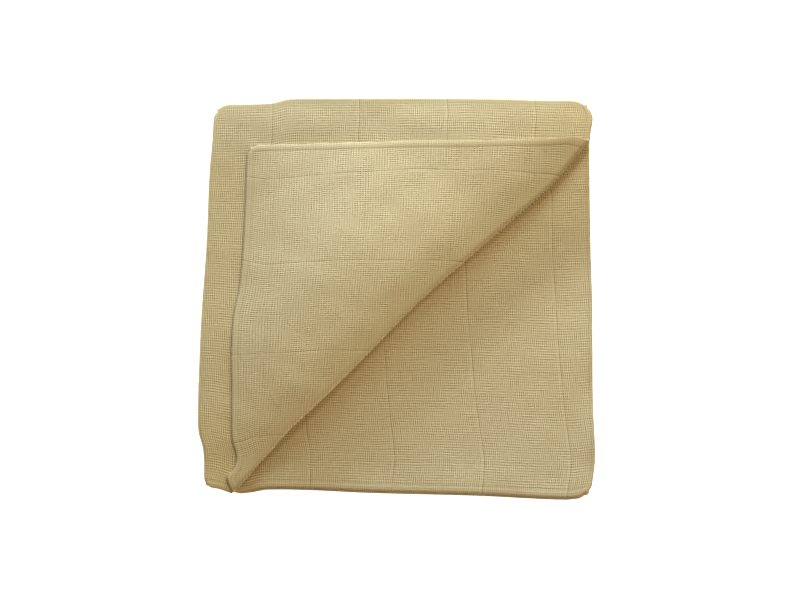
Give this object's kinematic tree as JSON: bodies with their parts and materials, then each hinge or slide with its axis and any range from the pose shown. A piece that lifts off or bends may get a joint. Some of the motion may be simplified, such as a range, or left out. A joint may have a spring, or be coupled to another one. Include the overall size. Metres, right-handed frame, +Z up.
{
  "type": "folded muslin cloth",
  "caption": "Soft muslin square for baby care, folded into quarters and lying flat, with a free corner of the top layer turned back along a diagonal.",
  "frame": {"origin": "on the surface that the folded cloth lies on, under the middle of the folded square", "axes": "+X across the folded square towards its free right hems, +Y towards its top fold, +Z up from the surface"},
  "size_m": [0.3548, 0.3592, 0.0212],
  "materials": {
    "muslin": "matte open plain weave of double gauze, sand coloured, with a large check of thicker yarns and a narrow hem"
  },
  "bodies": {
    "root": {"muslin_cloth": "muslin"}
  },
  "joints": []
}
